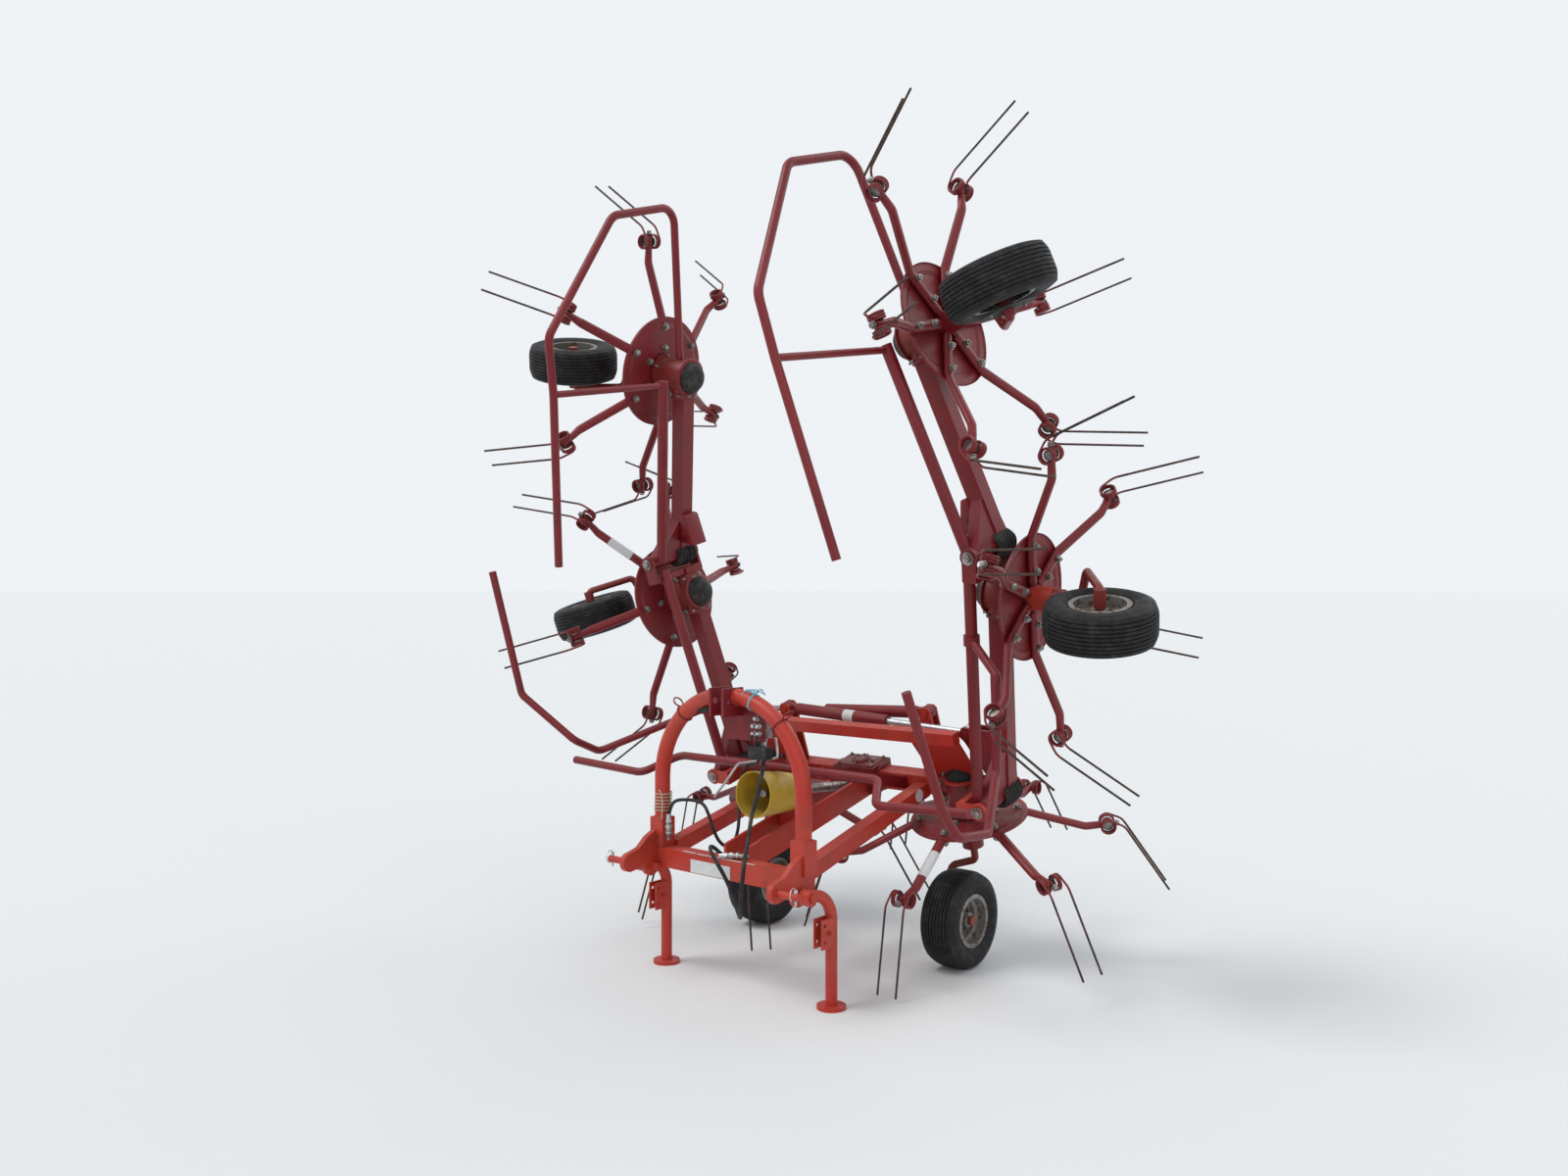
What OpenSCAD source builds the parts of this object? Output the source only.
// Mounted hay tedder with six tine rotors, parked on its two middle wheels and two stands,
// with both wings folded up. Millimetres. +X is the machine's side nearest the camera,
// -Y points to the tractor and +Z is up.

/* [Rotors] */
// Distance between two neighbouring rotor axes
rotor_pitch = 1060; // [1050:1:1070]
// Diameter of the pressed disc of a rotor
disc_d = 500; // [440:5:520]
// Thickness of the pressed disc
disc_t = 5; // [4:1:8]
// Diameter of a tine arm
arm_d = 30; // [26:1:32]
// Radius at which the tine coils sit
coil_r = 570; // [560:1:575]
// Drop from the disc to the tine coils
coil_drop = 118; // [105:1:125]
// Length of a tine from its coil to its tip
tine_len = 397; // [360:5:400]
// Angle of a tine's long leg out from straight down
tine_rake = 26; // [22:1:30]
// Angle of the knee that turns a tine down from its coil
tine_bend = 36; // [28:1:38]
// Diameter of the tine wire
wire_d = 9.4; // [8:0.2:10]
// Outer diameter of a tine coil
tine_coil_d = 68; // [60:1:70]

/* [Wheels] */
// Outer diameter of a tyre
tyre_d = 406; // [390:1:410]
// Width of a tyre
tyre_w = 162; // [150:1:165]
// Diameter of the rim where the tyre sits
rim_d = 212; // [200:1:220]
// Drop of a wheel axle below its rotor disc
axle_drop = 390; // [385:1:395]
// Distance of a wheel axle ahead of its rotor axis
axle_lead = 200; // [190:1:210]
// Diameter of the cranked bar that carries a wheel
crank_d = 32; // [28:1:36]
// Sideways distance from the wheel to its crank
crank_side = 124; // [122:1:132]

/* [Frame] */
// Tilt of the rotor deck, front edge down
deck_tilt = 15.5; // [15:0.1:16]
// Side of the square main tubes
beam_w = 80; // [70:1:90]
// Height of the main tube's axis above the discs
beam_up = 125; // [120:1:135]
// Distance from a rotor axis out to its wing hinge
hinge_out = 200; // [195:1:205]
// Fold of the right inner wing up from working position
inner_fold_right = 83; // [82:0.5:84]
// Fold of the left inner wing up from working position
inner_fold_left = 81.5; // [80:0.5:83]
// Further inward fold of the right outer wing
outer_fold_right = 22.5; // [21:0.5:24]
// Further inward fold of the left outer wing
outer_fold_left = 24.5; // [23:0.5:26]
// Distance of a wing's front strut ahead of its beam
strut_lead = 170; // [160:1:180]
// Height of a wing's front strut above its beam's axis
strut_up = 34; // [25:1:45]
// Diameter of a wing's front strut
strut_d = 48; // [40:1:50]
// Diameter of the headstock's bent tubes
arch_d = 64; // [55:1:70]
// Half the distance between the legs of the headstock
arch_half = 380; // [370:1:390]
// Diameter of the guard tubes
guard_d = 34; // [30:1:38]

/* [Stands] */
// Diameter of a stand's tube
stand_d = 46; // [40:1:50]
// Diameter of a stand's foot plate
foot_d = 112; // [100:1:130]

/* [Hidden] */
$fn = 48;

// Clearances
run = 0.3;      // between a turning or sliding piece and its shaft
shaft_run = 0.6; // between a rotor's hub and the long shaft inside it
seat = 0.3;     // between two pieces that rest on each other
side_gap = 6;   // between the side faces of pieces that move past each other

// Place of the deck: the middle of the two centre discs, with the wheels' axles over y = 0
// and their tyres on the ground
deck_y = axle_lead * cos(deck_tilt) - axle_drop * sin(deck_tilt);
deck_z = tyre_d / 2 + axle_lead * sin(deck_tilt) + axle_drop * cos(deck_tilt);
// Shift that puts the origin under the middle of the whole machine
origin_shift = [10, 172, 0];

// Rotor heads: side (+1 right), level (0 centre, 1 inner, 2 outer), arm phase from straight
// outward towards the front, crank side (+1 outward of the wheel)
SIDE = 0;
LEVEL = 1;
PHASE = 2;
CRANK = 3;
centre_right = [1, 0, 28, -1];
centre_left = [-1, 0, 58, -1];
inner_right = [1, 1, 2, 1];
inner_left = [-1, 1, 32, 1];
outer_right = [1, 2, 28, -1];
outer_left = [-1, 2, 58, -1];

arms = 6;
hub_d = 92;
hub_len = 150;
shaft_d = 44;
coil_turns = 3;
tine_knee = 58;     // from a coil to the middle of the knee
knee_bend = 30;
coil_half = 17 + wire_d;
tyre_out = 12;

// Rods, bent tubes and frames of reference

function unit(v) = v / norm(v);

module rod(a, b, d) {
    v = b - a;
    translate(a)
        rotate([0, acos(v[2] / norm(v)), atan2(v[1], v[0])])
            cylinder(d = d, h = norm(v));
}

module box_bar(a, b, w, h) {
    v = b - a;
    translate(a)
        rotate([0, acos(v[2] / norm(v)), atan2(v[1], v[0])])
            translate([-h / 2, -w / 2, 0]) cube([h, w, norm(v)]);
}

function setback(pts, i, bend) =
    i <= 0 || i >= len(pts) - 1 ? 0 :
    let (a = unit(pts[i - 1] - pts[i]), b = unit(pts[i + 1] - pts[i]))
    bend / tan(acos(a * b) / 2);

// A round tube through the points, with its corners bent at the radius bend. An elbow is a
// hair thicker than its legs, and each leg runs a little way into it.
elbow_lap = 1;
elbow_extra = 0.5;

module bent_tube(pts, d, bend) {
    last = len(pts) - 1;
    for (i = [0 : last - 1]) {
        dir = unit(pts[i + 1] - pts[i]);
        back_off = i == 0 ? 0 : setback(pts, i, bend) - elbow_lap;
        fore_off = i == last - 1 ? 0 : setback(pts, i + 1, bend) - elbow_lap;
        rod(pts[i] + dir * back_off, pts[i + 1] - dir * fore_off, d);
    }
    for (i = [1 : 1 : last - 1]) elbow(pts[i - 1], pts[i], pts[i + 1], d + elbow_extra, bend);
}

// The bent corner of a tube at q, between its legs towards p and r
module elbow(p, q, r, d, bend) {
    a = unit(p - q);
    b = unit(r - q);
    turn = 180 - acos(a * b);
    centre = q + unit(a + b) * bend / cos(turn / 2);
    ex = -unit(a + b);
    ez = unit(cross(a, -b));
    ey = cross(ez, ex);
    multmatrix([
        [ex[0], ey[0], ez[0], centre[0]],
        [ex[1], ey[1], ez[1], centre[1]],
        [ex[2], ey[2], ez[2], centre[2]],
        [0, 0, 0, 1]])
        rotate([0, 0, -turn / 2]) rotate_extrude(angle = turn) translate([bend, 0]) circle(d = d);
}

module place() translate(origin_shift) children();

module side(s) mirror([s < 0 ? 1 : 0, 0, 0]) children();

module deck() translate([0, deck_y, deck_z]) rotate([deck_tilt, 0, 0]) children();

// From one rotor's frame out to the next one's, turned up by angle at the hinge between them
module step_out(angle)
    translate([hinge_out, 0, beam_up])
        rotate([0, -angle, 0])
            translate([rotor_pitch - hinge_out, 0, -beam_up]) children();

function inner_fold(s) = s > 0 ? inner_fold_right : inner_fold_left;
function outer_fold(s) = s > 0 ? outer_fold_right : outer_fold_left;

// A rotor's own frame: origin at the middle of its disc, +X outward, +Y back, +Z up its axis
module section(s, level) {
    place() side(s) deck() translate([rotor_pitch / 2, 0, 0]) {
        if (level == 0) children();
        if (level == 1) step_out(inner_fold(s)) children();
        if (level == 2) step_out(inner_fold(s)) step_out(outer_fold(s)) children();
    }
}

module head(h) section(h[SIDE], h[LEVEL]) children();

// Rotor with its pressed disc, hub tube and six tine arms

arm_flat = 238;
arm_kink = 478;
arm_level = -disc_t - arm_d / 2 - 1;

module rotor(h) head(h) color("firebrick") {
    difference() {
        union() {
            rotate_extrude($fn = 96) polygon([
                [0, -disc_t], [disc_d / 2 - 46, -disc_t], [disc_d / 2 - 30, -disc_t - 6],
                [disc_d / 2 - 6, -disc_t - 6], [disc_d / 2, -disc_t - 12], [disc_d / 2, -disc_t - 2],
                [disc_d / 2 - 4, -6], [disc_d / 2 - 28, -6], [disc_d / 2 - 44, 0], [0, 0]]);
            translate([0, 0, -hub_len]) cylinder(d = hub_d, h = hub_len);
            for (i = [0 : arms - 1])
                rotate([0, 0, -h[PHASE] + i * 360 / arms]) rotor_arm();
        }
        translate([0, 0, -hub_len - 1]) cylinder(d = shaft_d + 2 * shaft_run, h = hub_len + 2);
    }
}

module rotor_arm() {
    tip = coil_r + tine_coil_d / 2 - wire_d - seat;
    bent_tube([
        [30, 0, arm_level], [arm_flat, 0, arm_level], [arm_kink, 0, -coil_drop], [tip, 0, -coil_drop]],
        arm_d, 50);
    for (r = [110, arm_flat - 30])
        translate([r, 0, arm_level]) cylinder(d = 22, h = -arm_level + 8);
}

// Twin coils and legs of one sprung double tine, bent from one wire

module tines(h) head(h) color("dimgray")
    for (i = [0 : arms - 1])
        rotate([0, 0, -h[PHASE] + i * 360 / arms])
            translate([coil_r, 0, -coil_drop]) double_tine();

module double_tine() {
    mid_r = tine_coil_d / 2 - wire_d / 2;
    pitch = wire_d * 0.92;
    translate([mid_r, 0, 0]) rod([0, -coil_half, 0], [0, coil_half, 0], wire_d - 0.6);
    for (s = [-1, 1]) {
        translate([0, s * coil_half, 0]) rotate([-90 * s, 0, 0])
            rotate_extrude()
                for (k = [0 : coil_turns - 1])
                    translate([mid_r, k * pitch]) circle(d = wire_d, $fn = 24);
        out = s * (coil_half + (coil_turns - 1) * pitch);
        shin = tine_rake + tine_bend;
        start = [cos(shin), 0, sin(shin)] * (mid_r - 1) + [0, out, 0];
        knee = start + [sin(shin), 0, -cos(shin)] * tine_knee;
        tip = knee + [sin(tine_rake), 0, -cos(tine_rake)] * (tine_len - tine_knee);
        bent_tube([start, knee, tip], wire_d - 1, knee_bend);
    }
}

// Wheel, its rim, and the rotor head with the cranked bar that carries it

module wheel_frame(h) head(h) translate([tyre_out, -axle_lead, -axle_drop])
    rotate([0, 90 * h[CRANK], 0]) children();

module tyre(h) wheel_frame(h) color([0.06, 0.06, 0.06]) rotate_extrude($fn = 96) {
    r = tyre_d / 2;
    w = tyre_w / 2;
    bead = rim_d / 2;
    polygon([
        [bead, -w + 22], [bead + 18, -w + 8], [bead + 46, -w], [r - 34, -w + 3],
        [r - 12, -w + 12], [r - 3, -w + 26], [r, -w + 48],
        [r, w - 48], [r - 3, w - 26], [r - 12, w - 12],
        [r - 34, w - 3], [bead + 46, w], [bead + 18, w - 8], [bead, w - 22]]);
}

hub_bore_d = 25;

module rim(h) wheel_frame(h) color([0.75, 0.72, 0.68]) {
    bead = rim_d / 2 - seat;
    w = tyre_w / 2;
    difference() {
        union() {
            rotate_extrude($fn = 96) polygon([
                [bead - 8, -w + 20], [bead + 6, -w + 20 - 5], [bead + 6, -w + 16 - 5],
                [bead - 12, -w + 16 - 5], [bead - 12, -30], [bead - 26, -22], [bead - 26, 22],
                [bead - 12, 30], [bead - 12, w - 11], [bead + 6, w - 11], [bead + 6, w - 15],
                [bead - 8, w - 15], [bead, w - 24], [bead, -w + 24], [bead - 8, -w + 20]]);
            translate([0, 0, -4]) cylinder(d = rim_d - 50, h = 8);
            translate([0, 0, -48]) cylinder(d = 62, h = 96);
        }
        translate([0, 0, -49]) cylinder(d = hub_bore_d + 2 * run, h = 98);
        for (i = [0 : 4]) rotate([0, 0, i * 72]) translate([56, 0, -10]) cylinder(d = 14, h = 20);
    }
}

gear_d = 150;
flange_d = 112;
flange_at = 96;

module rotor_head(h, flanges) {
    head(h) color([0.55, 0.12, 0.10]) {
        translate([0, 0, seat]) cylinder(d = gear_d, h = beam_up + 34 - seat);
        translate([0, 0, beam_up + 34]) cylinder(d1 = gear_d - 20, d2 = 70, h = 16);
        translate([0, 0, 6]) cylinder(d = gear_d + 24, h = 12);
        for (f = flanges)
            translate([0, 0, beam_up]) rotate([0, 90 * f, 0]) cylinder(d = flange_d, h = flange_at);
        crank(h[CRANK]);
    }
}

module crank(c) {
    x = tyre_out + c * crank_side;
    drop = -hub_len - 66;
    translate([0, 0, -hub_len - 12]) cylinder(d = shaft_d, h = hub_len + 20);
    bent_tube([
        [0, 0, -hub_len], [0, 0, drop], [x, -14, drop - 36],
        [x, -axle_lead, -axle_drop], [x - c * 70, -axle_lead, -axle_drop]], crank_d, 26);
    rod([x - c * 60, -axle_lead, -axle_drop], [tyre_out - c * 56, -axle_lead, -axle_drop], hub_bore_d);
    rod([tyre_out - c * 54, -axle_lead, -axle_drop], [tyre_out - c * 66, -axle_lead, -axle_drop], 40);
    rod([tyre_out + c * 54, -axle_lead, -axle_drop], [x, -axle_lead, -axle_drop], 44);
}

// Centre frame

ear_t = 14;
hinge_pin_d = 30;
sleeve_d = 58;
sleeve_front = -strut_lead - 40;
sleeve_back = 62;

module beam(x0, x1, w) translate([x0, -w / 2, beam_up - w / 2]) cube([x1 - x0, w, w]);

// Two ears and the pin of a hinge, in the frame of the section inside it
module hinge_ears() translate([hinge_out, 0, beam_up]) {
    for (y = [sleeve_front - side_gap - ear_t, sleeve_back + side_gap])
        translate([0, y, 0]) rotate([-90, 0, 0]) cylinder(d = sleeve_d + 16, h = ear_t);
    rod([0, sleeve_front - side_gap - ear_t - 8, 0], [0, sleeve_back + side_gap + ear_t + 8, 0], hinge_pin_d);
}

// Beam stub out to the ears of the hinge
ear_root = 68;

module hinge_arm() {
    reach = hinge_out - ear_root;
    front = sleeve_front - side_gap - ear_t;
    back = sleeve_back + side_gap + ear_t;
    beam(flange_at, reach - 5, beam_w);
    translate([reach - 30, front, beam_up - 30]) cube([30, back - front, 60]);
    for (y = [front, back - ear_t])
        translate([reach - 10, y, beam_up - 30]) cube([ear_root + 10, ear_t, 60]);
    hinge_ears();
}

bridge_up = 398;
bridge_lead = 140;
bridge_half = 620;
bridge_box = 50;
gusset_in = 380;
gusset_t = 10;
strut_z0 = 502;
strut_z1 = 725;
strut_y1 = 30;
strut_cut = arch_half + 80;

module centre_frame() place() color("orangered") difference() {
    union() {
        deck() {
            inner = rotor_pitch / 2 - flange_at;
            beam(-inner, inner, beam_w);
            translate([-bridge_half, -bridge_lead - bridge_box / 2, bridge_up - bridge_box / 2])
                cube([2 * bridge_half, bridge_box, bridge_box]);
            for (s = [-1, 1]) side(s) {
                translate([rotor_pitch / 2, 0, 0]) hinge_arm();
                gusset();
                cylinder_bracket(s);
            }
        }
        for (s = [-1, 1]) {
            box_bar([s * (arch_half - 20), beam_y, strut_z0], [s * (arch_half - 40), strut_y1, strut_z1], 60, 60);
            box_bar([s * 60, beam_y, strut_z0], [s * 60, strut_y1, strut_z1], 14, 100);
        }
        pto_bearing();
    }
    deck() gearbox_block(seat);
    // The struts end at the back of the headstock's lower beam and of its leg boxes
    translate([-strut_cut, beam_y - beam_box / 2 - seat, beam_z - beam_box])
        cube([2 * strut_cut, beam_box + 2 * seat, 3 * beam_box]);
    for (s = [-1, 1]) side(s) leg_box(seat);
}

// Slanting plate between the bridge and the beam, cut out round the rotor head
module gusset() difference() {
    box_bar([(gusset_in + bridge_half) / 2, 0, beam_up + beam_w / 2 - 5],
        [(gusset_in + bridge_half) / 2, -bridge_lead, bridge_up], bridge_half - gusset_in, gusset_t);
    translate([rotor_pitch / 2, 0, 0]) {
        cylinder(d = gear_d + 24 + side_gap, h = beam_up + 50 + side_gap);
        translate([-flange_at - side_gap, 0, beam_up]) rotate([0, 90, 0])
            cylinder(d = flange_d + side_gap, h = 2 * (flange_at + side_gap));
    }
}

// Two plates and a pin that hold a cylinder's root, on the frame's side away from its wing
module cylinder_bracket(s) {
    v = cylinder_v[s > 0 ? 1 : 0];
    for (y = [v - eye_w / 2 - 4 - lever_t, v + eye_w / 2 + 4])
        translate([-cylinder_root[0], y + lever_t, 0]) rotate([90, 0, 0]) linear_extrude(lever_t) polygon([
            [-50, beam_up + beam_w / 2 - 5], [50, beam_up + beam_w / 2 - 5],
            [28, cylinder_root[1] + 16], [16, cylinder_root[1] + 28],
            [-16, cylinder_root[1] + 28], [-28, cylinder_root[1] + 16]]);
    rod([-cylinder_root[0], v - eye_w / 2 - lever_t - 12, cylinder_root[1]],
        [-cylinder_root[0], v + eye_w / 2 + lever_t + 12, cylinder_root[1]], eye_pin_d);
}

// Bearing plate that carries the drive stub and its guard
module pto_bearing() {
    translate([-60, bearing_y, 590]) cube([120, 12, 90]);
    pto_frame() translate([0, 0, bearing_back]) difference() {
        cylinder(d = guard_back_d - 12, h = 12);
        translate([0, 0, -1]) cylinder(d = shaft_back_d + 2 * run, h = 14);
    }
}

// Headstock: lower beam, two bent tubes and the lower-link pins

beam_y = -841;
beam_z = 482;
beam_half = 405;
beam_box = 78;
arch_bend = 365;
arch_straight = 800;
link_y = beam_y - 179;     // lower-link pins
link_z = beam_z - 4;
pin_d = 28;
pin_len = 100;
hook_t = 25;
hook_boss = 76;
pin_y = -895;              // pins of the stands
pin_z = 445;
stand_pin_d = 30;
pin_plate = 18;
leg_box_w = 72;
leg_box_h = 130;
leg_foot = beam_z + 30;
leg_window = [52, 50];

// Box at the foot of a leg, open towards the tractor just above the beam
module leg_box(grow = 0) {
    w = leg_box_w + 2 * grow;
    translate([arch_half, beam_y, leg_foot - grow]) difference() {
        translate([-w / 2, -w / 2, 0]) cube([w, w, leg_box_h + 2 * grow]);
        if (grow == 0)
            translate([-leg_window[0] / 2, -w / 2 - 1, beam_z + beam_box / 2 - leg_foot])
                cube([leg_window[0], w / 2, leg_window[1]]);
    }
}

// Curved arm from the foot of a leg forward to the lower-link pin
module hook_arm() {
    translate([beam_half - hook_t, 0, 0]) rotate([90, 0, 90]) {
        linear_extrude(hook_t) polygon([
            [beam_y + 34, beam_z - beam_box / 2], [beam_y + 34, leg_foot + 78],
            [beam_y - 40, leg_foot + 78], [beam_y - 86, leg_foot + 56], [beam_y - 130, leg_foot + 18],
            [link_y, link_z + hook_boss / 2], [link_y, link_z - hook_boss / 2],
            [beam_y - 100, link_z - 26], [beam_y - 50, beam_z - beam_box / 2]]);
        translate([link_y, link_z, 0]) cylinder(d = hook_boss, h = hook_t);
    }
    rod([beam_half - hook_t, link_y, link_z], [beam_half + pin_len, link_y, link_z], pin_d);
}

module headstock() place() color("orangered") difference() {
    union() {
        translate([-beam_half, beam_y - beam_box / 2, beam_z - beam_box / 2])
            cube([2 * beam_half, beam_box, beam_box]);
        for (s = [-1, 1]) side(s) {
            rod([arch_half, beam_y, beam_z + 30], [arch_half, beam_y, arch_straight], arch_d);
            translate([arch_half - arch_bend, beam_y, arch_straight]) rotate([90, 0, 0])
                rotate_extrude(angle = 90) translate([arch_bend, 0]) circle(d = arch_d);
            leg_box();
            hull() {
                translate([beam_half - pin_plate, pin_y, pin_z]) rotate([0, 90, 0])
                    cylinder(d = 84, h = pin_plate, $fn = 32);
                translate([beam_half - pin_plate, beam_y - 10, beam_z - beam_box / 2])
                    cube([pin_plate, 40, beam_box]);
            }
            rod([beam_half - 60, pin_y, pin_z], [stand_x + stand_hub / 2 + 9, pin_y, pin_z], stand_pin_d);
            hook_arm();
        }
    }
    translate([-top_gap / 2 - top_plate - seat, beam_y - arch_d, arch_straight])
        cube([top_gap + 2 * (top_plate + seat), 2 * arch_d, arch_bend + arch_d]);
}

// Plates at the top of the headstock with the bore for the top link's pin, and the plate across
// their backs that carries the valve block
top_bore_d = 25.5;
top_bore_y = beam_y - 52;
top_bore_z = 1150;
top_plate = 12;
top_gap = 56;
top_back = beam_y + 38;
valve_plate = 10;
valve_x = 55;
valve_z = 1000;
valve_size = [90, 50, 90];

module top_link_bracket() place() color("firebrick") {
    difference() {
        for (x = [-top_gap / 2 - top_plate, top_gap / 2])
            translate([x, top_bore_y - 26, top_bore_z - 62])
                cube([top_plate, top_back - top_bore_y + 26, 112]);
        rod([-60, top_bore_y, top_bore_z], [60, top_bore_y, top_bore_z], top_bore_d);
    }
    translate([-50, top_back - 2, valve_z - 10]) cube([200, valve_plate + 2, 140]);
}

// Guard tube across the front of the centre rotors, with two arms back to the beam
guard_y = -577;
guard_z = 855;
guard_arm_x = 260;

module centre_guard() place() color("firebrick") difference() {
    union() {
        bent_tube([
            [-1046, -747, 807], [-631, -725, 786], [-536, guard_y, guard_z],
            [536, guard_y, guard_z], [631, -725, 786], [1046, -747, 807]], guard_d, 60);
        for (s = [-1, 1])
            box_bar([s * guard_arm_x, guard_y, guard_z], [s * guard_arm_x, 60, 734], 12, 50);
    }
    deck() translate([-600, -beam_w / 2 - seat, 0]) cube([1200, 300, 300]);
}

gearbox_w = 219.4;
gearbox_l = 140;
gearbox_h = 124;

module gearbox_block(grow = 0)
    translate([-gearbox_w / 2 - grow, -gearbox_l / 2 - grow, beam_up - gearbox_h / 2 - grow])
        cube([gearbox_w + 2 * grow, gearbox_l + 2 * grow, gearbox_h + 2 * grow]);

module main_gearbox() place() color([0.45, 0.1, 0.08]) deck() gearbox_block();

// Drive stub and its guard. The frame's origin is the middle of the guard's mouth and its +Z
// points along the stub to the tractor.
pto_mouth = [0, -700, 754];
pto_rise = 3.3;
guard_mouth_d = 192;
guard_back_d = 164;
guard_len = 214;
guard_wall = 5;
stub_d = 34.9;
stub_end = -60;
stub_len = 140;
shaft_back_d = 40;
shaft_end = -680;
bearing_back = -guard_len - 12.3;
bearing_y = -478;

module pto_frame() translate(pto_mouth) rotate([90 - pto_rise, 0, 0]) children();

module pto_shaft() place() pto_frame() color("silver") {
    translate([0, 0, stub_end - stub_len]) cylinder(d = stub_d, h = stub_len);
    translate([0, 0, shaft_end]) cylinder(d = shaft_back_d, h = stub_end - stub_len - shaft_end);
}

module pto_guard() place() pto_frame() color("gold") difference() {
    translate([0, 0, -guard_len]) cylinder(d1 = guard_back_d, d2 = guard_mouth_d, h = guard_len);
    translate([0, 0, -guard_len + guard_wall])
        cylinder(d1 = guard_back_d - 2 * guard_wall, d2 = guard_mouth_d - 2 * guard_wall, h = guard_len);
    translate([0, 0, -guard_len - 1]) cylinder(d = shaft_back_d + 16, h = 20);
}

module valve_block() place() color("dimgray")
    translate([valve_x, top_back + valve_plate + seat, valve_z]) cube(valve_size);

// Stands, which turn on the lower-link pins

stand_x = beam_half + 40;
stand_hub = 44;
stand_bend = 110;
foot_y = -754;
foot_t = 14;
lock_z = 240;
lock_h = 112;
lock_w = 60;
lock_t = 6;
lock_pin_d = 14;

// Two plates with holes, and the pin that locks the stand through them
module lock_plates() {
    front = foot_y - stand_d / 2 - lock_w;
    for (e = [-1, 1])
        translate([stand_x + e * (stand_d / 2 - 5) - lock_t / 2, 0, 0]) difference() {
            translate([0, front, lock_z]) cube([lock_t, lock_w + 20, lock_h]);
            for (z = [0.22, 0.78])
                translate([-1, front + 18, lock_z + z * lock_h]) rotate([0, 90, 0])
                    cylinder(d = lock_pin_d, h = lock_t + 2);
        }
    rod([stand_x - stand_d / 2 - 12, front + 42, lock_z + lock_h / 2],
        [stand_x + stand_d / 2 + 12, front + 42, lock_z + lock_h / 2], lock_pin_d);
}

module stand(s) place() color("orangered") side(s) difference() {
    union() {
        rod([stand_x - stand_hub / 2, pin_y, pin_z], [stand_x + stand_hub / 2, pin_y, pin_z], 62);
        bent_tube([
            [stand_x, pin_y + 18, pin_z], [stand_x, foot_y, pin_z - 2], [stand_x, foot_y, foot_t / 2]],
            stand_d, stand_bend);
        translate([stand_x, foot_y, 0]) cylinder(d = foot_d, h = foot_t);
        lock_plates();
    }
    rod([stand_x - 30, pin_y, pin_z], [stand_x + 30, pin_y, pin_z], stand_pin_d + 2 * run);
}

// Hydraulic hoses: the lift hose hangs in front of the headstock to the lower beam, the side hose
// over the drive guard to the left leg. Each ends in a coupling.
hose_steps = 3;
hose_lift_d = 16;
hose_side_d = 14;
coupling_d = 24;
valve_foot = valve_z - seat;
hose_lift_path = [
    [125, -775, valve_foot], [126, -777, 960], [136, -790, 915], [146, -815, 855], [150, -855, 760],
    [166, -895, 714], [193, -950, 617], [207, -985, 543], [210, -1000, 465], [194, -990, 392],
    [160, -953, 335], [112, -920, 352], [80, -918, 414], [58, -932, 472], [28, -944, 524],
    [-8, -938, 560], [-34, -914, 573], [-40, -888, 564], [-27, -871, 545], [-14, -864.4, 536],
    [-4, -859.8, 533.3], [3.2, -856.4, 533.3]];
hose_side_path = [
    [85, -765, valve_foot], [82, -762, 960], [60, -735, 910], [10, -690, 880], [-60, -655, 868],
    [-118, -635, 820], [-135, -630, 760], [-132, -640, 700], [-118, -655, 640], [-105, -680, 585],
    [-104, -705, 548], [-115, -735, 535], [-128, -765, 560], [-138, -790, 612], [-152, -802, 670],
    [-175, -808, 708], [-215, -818, 722], [-270, -838, 722], [-300, -850, 712], [-312, -858, 690],
    [-318, -865, 656], [-318, -866, 638], [-318, -866, 628]];

// Points of a smooth curve through a list of points
function curve_point(a, b, c, d, t) = 0.5 * (2 * b + (c - a) * t
    + (2 * a - 5 * b + 4 * c - d) * t * t + (3 * b - a - 3 * c + d) * t * t * t);
function smooth(p) = let (n = len(p) - 1) concat(
    [for (i = [0 : n - 1], k = [0 : hose_steps - 1])
        curve_point(p[max(i - 1, 0)], p[i], p[i + 1], p[min(i + 2, n)], k / hose_steps)], [p[n]]);
function tangent(p, i) = unit(p[min(i + 1, len(p) - 1)] - p[max(i - 1, 0)]);
function across(p, i) = i == 0 ? unit(cross(tangent(p, 0), [0, 1, 0]))
    : let (t = tangent(p, i), a = across(p, i - 1)) unit(a - t * (a * t));

// A hose through the points as one closed skin of rings
module hose(path, d, sides = 10) {
    p = smooth(path);
    n = len(p);
    rings = [for (i = [0 : n - 1]) let (a = across(p, i), b = cross(tangent(p, i), a))
        for (k = [0 : sides - 1]) p[i] + (a * cos(k * 360 / sides) + b * sin(k * 360 / sides)) * d / 2];
    walls = [for (i = [0 : n - 2], k = [0 : sides - 1]) let (l = (k + 1) % sides)
        [i * sides + k, (i + 1) * sides + k, (i + 1) * sides + l, i * sides + l]];
    polyhedron(rings, concat([[for (k = [0 : sides - 1]) k]], walls,
        [[for (k = [sides - 1 : -1 : 0]) (n - 1) * sides + k]]), 4);
}

module coupling(a, b) {
    rod(a, b, coupling_d);
    rod(b, b + unit(b - a) * 22, coupling_d - 8);
}

module hose_lift() place() color([0.05, 0.05, 0.05]) hose(hose_lift_path, hose_lift_d);
module hose_side() place() color([0.05, 0.05, 0.05]) hose(hose_side_path, hose_side_d);
module coupling_lift() place() color("silver") {
    z = beam_z + beam_box / 2 + seat + coupling_d / 2;
    coupling([4, -856, z], [64, -828, z]);
}
module coupling_side() place() color("silver") coupling([-318, -866, 628 - seat], [-318, -866, 578]);

// Wings

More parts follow.
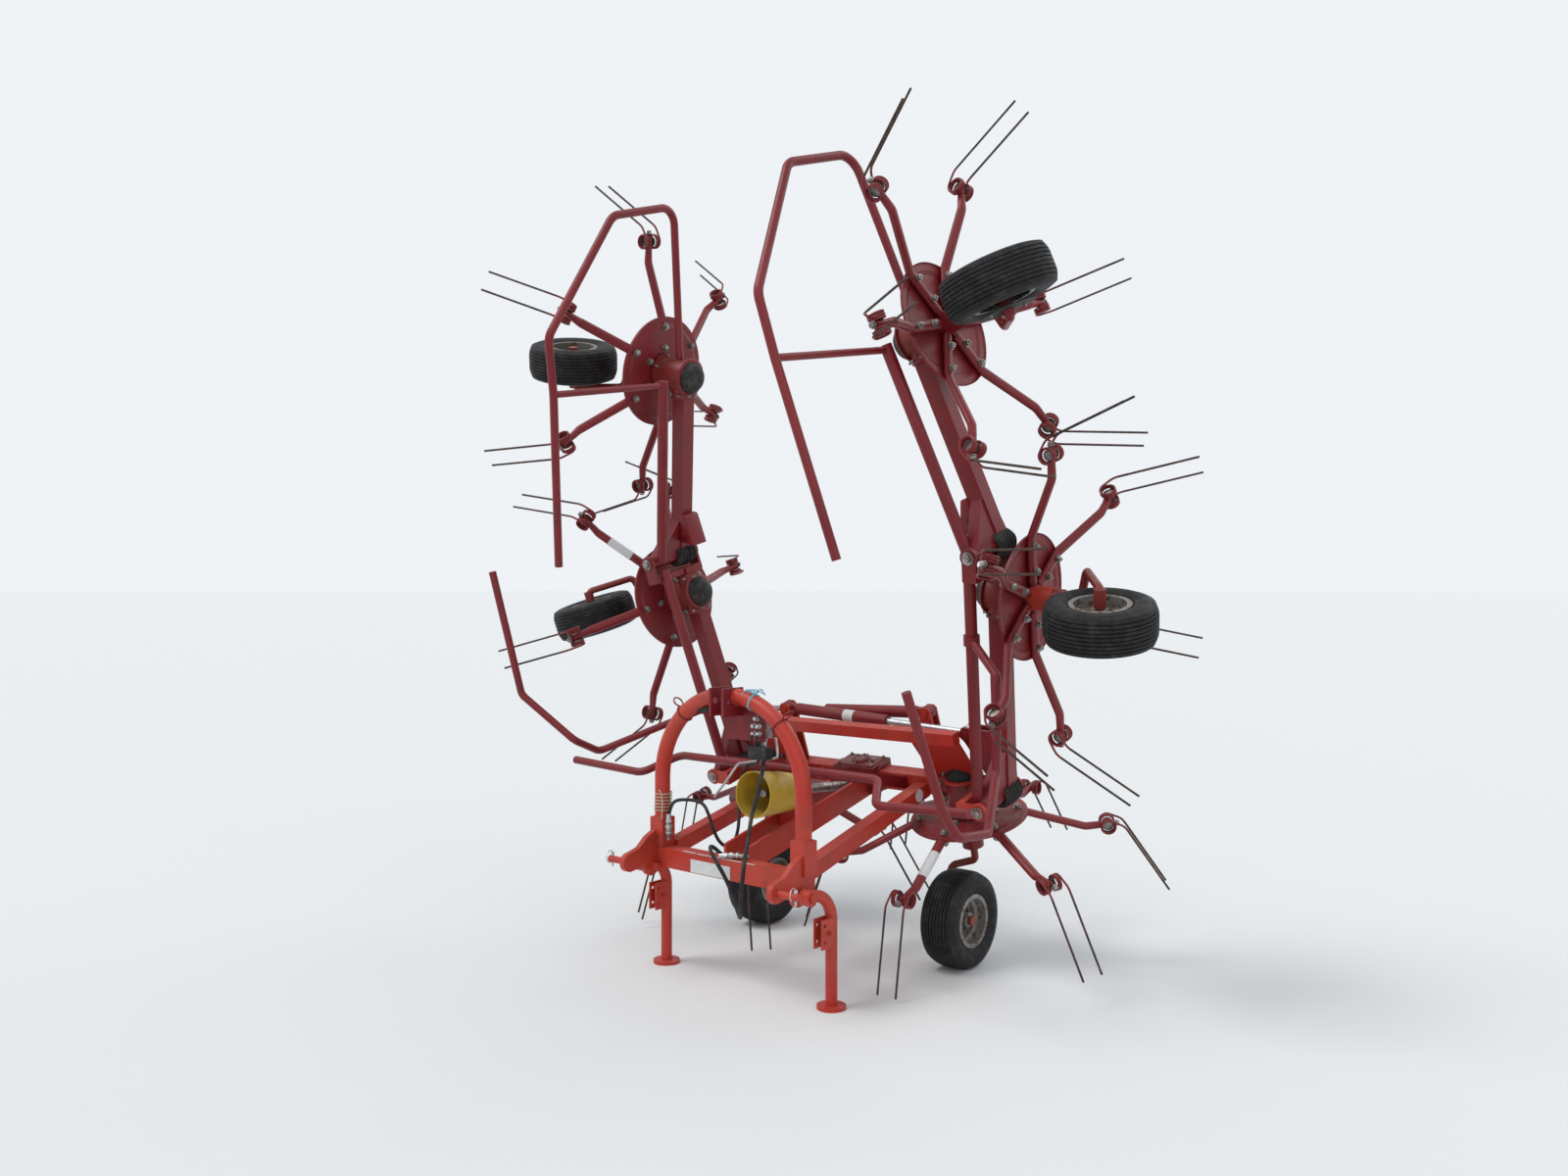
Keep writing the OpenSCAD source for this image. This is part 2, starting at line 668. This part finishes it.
// A wing section from its root hinge: beam, front strut and, on an inner wing, the next hinge
wing_root = hinge_out - rotor_pitch;
strut_tip = 8;
wedge_t = 56;
wedge_len = 190;

// Tapered root between a wing's beam and its hinge sleeve
module hinge_wedge() translate([wing_root, 0, beam_up - wedge_t / 2]) linear_extrude(wedge_t)
    polygon([[0, sleeve_front + 4], [0, sleeve_back - 4],
        [wedge_len, beam_w / 2 - 5], [wedge_len, -beam_w / 2 + 5]]);

module wing(s, level, outer) section(s, level) color("firebrick") {
    strut_z = beam_up + strut_up;
    difference() {
        union() {
            rod([wing_root, sleeve_front, beam_up], [wing_root, sleeve_back, beam_up], sleeve_d);
            beam(wing_root, -flange_at, beam_w - 10);
            hinge_wedge();
            rod([wing_root + 10, -strut_lead, strut_z],
                [outer ? strut_tip : hinge_out - sleeve_d / 2 - side_gap - 10, -strut_lead, strut_z], strut_d);
        }
        rod([wing_root, sleeve_front - 5, beam_up], [wing_root, sleeve_back + 5, beam_up],
            hinge_pin_d + 2 * run);
    }
    if (!outer) {
        hinge_arm();
        lever(s);
    }
}

// Lever plates on an inner wing's root, one each side of the cylinder's eye
module lever(s) {
    v = cylinder_v[s > 0 ? 0 : 1];
    for (y = [v - eye_w / 2 - side_gap - lever_t, v + eye_w / 2 + side_gap])
        translate([wing_root, y + lever_t, beam_up]) rotate([90, 0, 0]) {
            linear_extrude(lever_t) polygon([
                [sleeve_d / 2 + 5, beam_w / 2 - 10], [lever_tip[0] - 32, lever_tip[1]],
                [lever_tip[0] - 10, lever_tip[1] + 30], [lever_tip[0] + 30, lever_tip[1] + 12],
                [lever_tip[0] + 40, beam_w / 2 - 10]]);
        }
    foot_lo = min(v - eye_w / 2 - side_gap - lever_t, -beam_w / 2 + 10);
    foot_hi = max(v + eye_w / 2 + side_gap + lever_t, beam_w / 2 - 10);
    translate([wing_root + sleeve_d / 2 + 15, foot_lo, beam_up + beam_w / 2 - 7])
        cube([lever_tip[0], foot_hi - foot_lo, lever_t]);
    for (e = [-1, 1])
        rod([wing_root + lever_tip[0], v + e * (eye_w / 2 + side_gap - 4), beam_up + lever_tip[1]],
            [wing_root + lever_tip[0], v + e * (eye_w / 2 + side_gap + lever_t + 10), beam_up + lever_tip[1]],
            eye_pin_d + 10);
}

outer_guard_path = [
    [-675, -850, 210], [45, -813, 163], [274, -806, 133], [720, -412, 97], [740, -28, 77],
    [flange_at - 20, 0, 100]];

module outer_guard(s) section(s, 2) color("firebrick") difference() {
    union() {
        bent_tube(outer_guard_path, guard_d, 80);
        rod([strut_tip - 20, -strut_lead, beam_up + strut_up], [45, -800, 163], guard_d - 6);
    }
    rod([wing_root, -strut_lead, beam_up + strut_up], [strut_tip + seat, -strut_lead, beam_up + strut_up],
        strut_d + 2 * seat);
}

guard_path_right = [
    [-83, -889, -10], [-522, -858, -116], [-617, -834, -155], [-684, -645, -162],
    [-594, -365, -43], [-223, -306, -27], [-150, -strut_lead, beam_up + strut_up]];
guard_path_left = [
    [380, -775, -291], [-206, -783, -358], [-460, -750, -123], [-564, -614, -152],
    [-534, -strut_lead, beam_up + strut_up]];
collar_l = 40;
collar_t = 8;

module wing_guard(s) section(s, 1) color("firebrick") {
    path = s > 0 ? guard_path_right : guard_path_left;
    root = path[len(path) - 1];
    difference() {
        union() {
            bent_tube(path, guard_d, 45);
            rod(root - [collar_l / 2, 0, 0], root + [collar_l / 2, 0, 0], strut_d + 2 * (seat + collar_t));
        }
        rod(root - [collar_l, 0, 0], root + [collar_l, 0, 0], strut_d + 2 * seat);
    }
}

// Folding cylinders: each runs from a bracket on the far side of the frame to its wing's lever,
// one in front of the other. Row 0 is the right one, row 1 the left one.

cylinder_v = [-16, 56];
cylinder_root = [-365, 425];
barrel_d = 54;
barrel_len = 560;
barrel_neck = 60;
piston_d = 28;
eye_d = 62;
eye_w = 30;
eye_pin_d = 25;
lever_t = 10;
lever_tip = [235, 160];

// Lever tip in the deck's frame at rest
function lever_at(s) = let (a = inner_fold(s))
    [rotor_pitch / 2 + hinge_out + lever_tip[0] * cos(a) - lever_tip[1] * sin(a),
     beam_up + lever_tip[0] * sin(a) + lever_tip[1] * cos(a)];

// Frame with its origin at a cylinder's root pin and +X along the cylinder
module cylinder_frame(s) place() side(s) deck() {
    v = lever_at(s) - cylinder_root;
    translate([cylinder_root[0], cylinder_v[s > 0 ? 0 : 1], cylinder_root[1]])
        rotate([0, -atan2(v[1], v[0]), 0]) children();
}

module barrel(s) cylinder_frame(s) color("firebrick") difference() {
    union() {
        rod([barrel_neck, 0, 0], [barrel_len, 0, 0], barrel_d);
        translate([0, -eye_w / 2, -20]) cube([barrel_neck + 5, eye_w, 40]);
        rotate([90, 0, 0]) cylinder(d = eye_d, h = eye_w, center = true);
    }
    rotate([90, 0, 0]) cylinder(d = eye_pin_d + 2 * run, h = eye_w + 2, center = true);
    rod([80, 0, 0], [barrel_len + 1, 0, 0], piston_d + 2 * run);
}

module piston(s) cylinder_frame(s) color("silver") {
    reach = norm(lever_at(s) - cylinder_root);
    difference() {
        union() {
            rod([120, 0, 0], [reach - eye_d / 2 + 8, 0, 0], piston_d);
            translate([reach, 0, 0]) rotate([90, 0, 0]) cylinder(d = eye_d, h = eye_w, center = true);
        }
        translate([reach, 0, 0]) rotate([90, 0, 0]) cylinder(d = eye_pin_d, h = eye_w + 2, center = true);
    }
}

centre_frame();
headstock();
top_link_bracket();
centre_guard();
main_gearbox();
pto_guard();
pto_shaft();
valve_block();
stand(1);  // stand_right
stand(-1);  // stand_left
rotor_head(centre_right, [-1, 1]);  // head_centre_right
rotor_head(centre_left, [-1, 1]);  // head_centre_left
rotor_head(inner_right, [-1, 1]);  // head_inner_right
rotor_head(inner_left, [-1, 1]);  // head_inner_left
rotor_head(outer_right, [-1]);  // head_outer_right
rotor_head(outer_left, [-1]);  // head_outer_left
wing(1, 1, false);  // wing_inner_right
wing(-1, 1, false);  // wing_inner_left
wing(1, 2, true);  // wing_outer_right
wing(-1, 2, true);  // wing_outer_left
wing_guard(1);  // wing_guard_right
wing_guard(-1);  // wing_guard_left
outer_guard(1);  // outer_guard_right
outer_guard(-1);  // outer_guard_left
rotor(centre_right);  // rotor_centre_right
rotor(centre_left);  // rotor_centre_left
rotor(inner_right);  // rotor_inner_right
rotor(inner_left);  // rotor_inner_left
rotor(outer_right);  // rotor_outer_right
rotor(outer_left);  // rotor_outer_left
tines(centre_right);  // tines_centre_right
tines(centre_left);  // tines_centre_left
tines(inner_right);  // tines_inner_right
tines(inner_left);  // tines_inner_left
tines(outer_right);  // tines_outer_right
tines(outer_left);  // tines_outer_left
tyre(centre_right);  // tyre_centre_right
tyre(centre_left);  // tyre_centre_left
tyre(inner_right);  // tyre_inner_right
tyre(inner_left);  // tyre_inner_left
tyre(outer_right);  // tyre_outer_right
tyre(outer_left);  // tyre_outer_left
rim(centre_right);  // rim_centre_right
rim(centre_left);  // rim_centre_left
rim(inner_right);  // rim_inner_right
rim(inner_left);  // rim_inner_left
rim(outer_right);  // rim_outer_right
rim(outer_left);  // rim_outer_left
barrel(1);  // barrel_right
barrel(-1);  // barrel_left
piston(1);  // piston_right
piston(-1);  // piston_left
hose_lift();
hose_side();
coupling_lift();
coupling_side();
